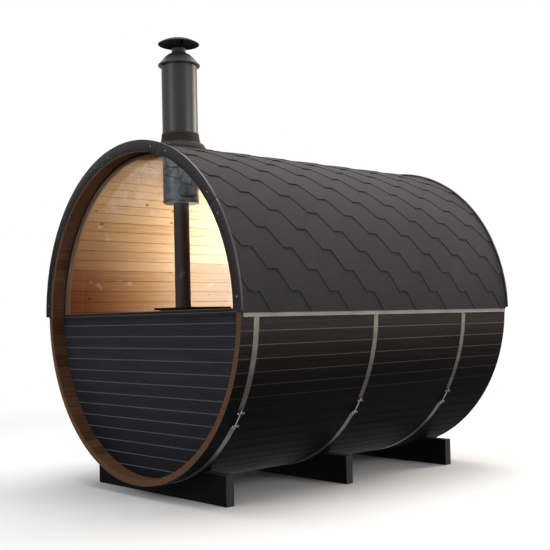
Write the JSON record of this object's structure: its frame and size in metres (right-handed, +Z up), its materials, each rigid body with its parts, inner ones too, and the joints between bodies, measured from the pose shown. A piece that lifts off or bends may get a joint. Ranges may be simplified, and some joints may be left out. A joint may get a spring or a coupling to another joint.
{
  "type": "barrel sauna",
  "caption": "Barrel sauna: round stave cabin lying on three cradles, half-moon window, plank door, shingled roof, hooped, with a capped stove chimney.",
  "frame": {"origin": "on the ground under the middle of the barrel", "axes": "+X to the right seen from the glazed end, +Y into the barrel away from the glazed end, +Z up"},
  "size_m": [2.326, 2.652, 3.1569],
  "materials": {
    "black_timber": "black stained boards, matt",
    "fascia_black": "black painted arch boards, satin",
    "brown_timber": "heat-treated brown timber, oiled",
    "pine": "planed pine, satin",
    "bitumen": "grey mineral-faced bitumen shingle, rough",
    "drip_metal": "grey coated steel, satin",
    "band_steel": "weathered steel strap",
    "bright_steel": "bright zinc",
    "glass": "clear toughened glass",
    "stove_iron": "black stove paint, matt",
    "chimney_paint": "dark grey powder coat, matt",
    "boot_rubber": "black flashing rubber"
  },
  "bodies": {
    "root": {"band_front": "band_steel", "band_middle": "band_steel", "band_rear": "band_steel", "cap_legs": "chimney_paint", "chimney_boot": "boot_rubber", "chimney_casing": "chimney_paint", "chimney_dome": "chimney_paint", "cradle_front": "black_timber", "cradle_middle": "black_timber", "cradle_rear": "black_timber", "door_frame": "brown_timber", "door_handle": "brown_timber", "door_hinges": "bright_steel", "door_leaf": "black_timber", "drip_edges": "drip_metal", "fascia_front": "fascia_black", "fascia_rear": "fascia_black", "floor_bearers": "pine", "floor_deck": "pine", "flue_pipe": "chimney_paint", "front_sill": "brown_timber", "front_wall": "black_timber", "rain_cap": "chimney_paint", "rear_wall_foot": "black_timber", "rear_wall_head": "black_timber", "rear_wall_left": "black_timber", "rear_wall_right": "black_timber", "roof_courses_left": "bitumen", "roof_courses_right": "bitumen", "roof_ridge": "bitumen", "staves_crown": "black_timber", "staves_keel": "black_timber", "staves_lower_left": "black_timber", "staves_lower_right": "black_timber", "staves_upper_left": "black_timber", "staves_upper_right": "black_timber", "stove_body": "stove_iron", "stove_feet": "stove_iron", "stove_top": "stove_iron", "tensioner_pins": "bright_steel", "tensioner_screws": "bright_steel", "window_glass": "glass", "window_stop_inner": "brown_timber", "window_stop_outer": "brown_timber"}
  },
  "joints": []
}
